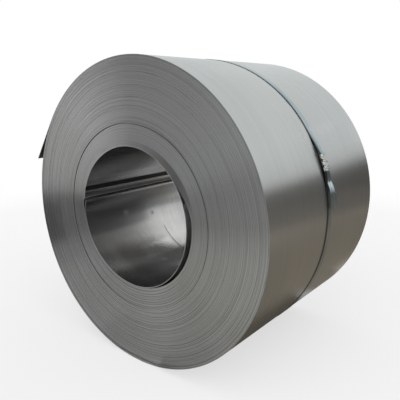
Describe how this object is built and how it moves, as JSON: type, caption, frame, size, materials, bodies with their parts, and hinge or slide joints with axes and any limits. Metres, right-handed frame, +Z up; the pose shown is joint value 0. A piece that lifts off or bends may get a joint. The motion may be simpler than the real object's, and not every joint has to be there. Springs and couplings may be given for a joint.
{
  "type": "steel coil",
  "caption": "Coil of bright steel strip lying on its side with an open bore, bound round its middle by a steel strap with a crimped seal.",
  "frame": {"origin": "on the floor under the middle of the coil's axis", "axes": "+Z up, +Y along the coil's axis from the near end to the far end, +X to the right, the side with the strap's seal"},
  "size_m": [1.1049, 0.77, 1.0804],
  "materials": {
    "strip_steel": "bright cold-rolled strip, its cut edges finely brushed round the coil",
    "strap_steel": "blue-tempered strapping",
    "seal_steel": "zinc-plated"
  },
  "bodies": {
    "root": {"coil": "strip_steel", "strap": "strap_steel", "strap_seal": "seal_steel"}
  },
  "joints": []
}
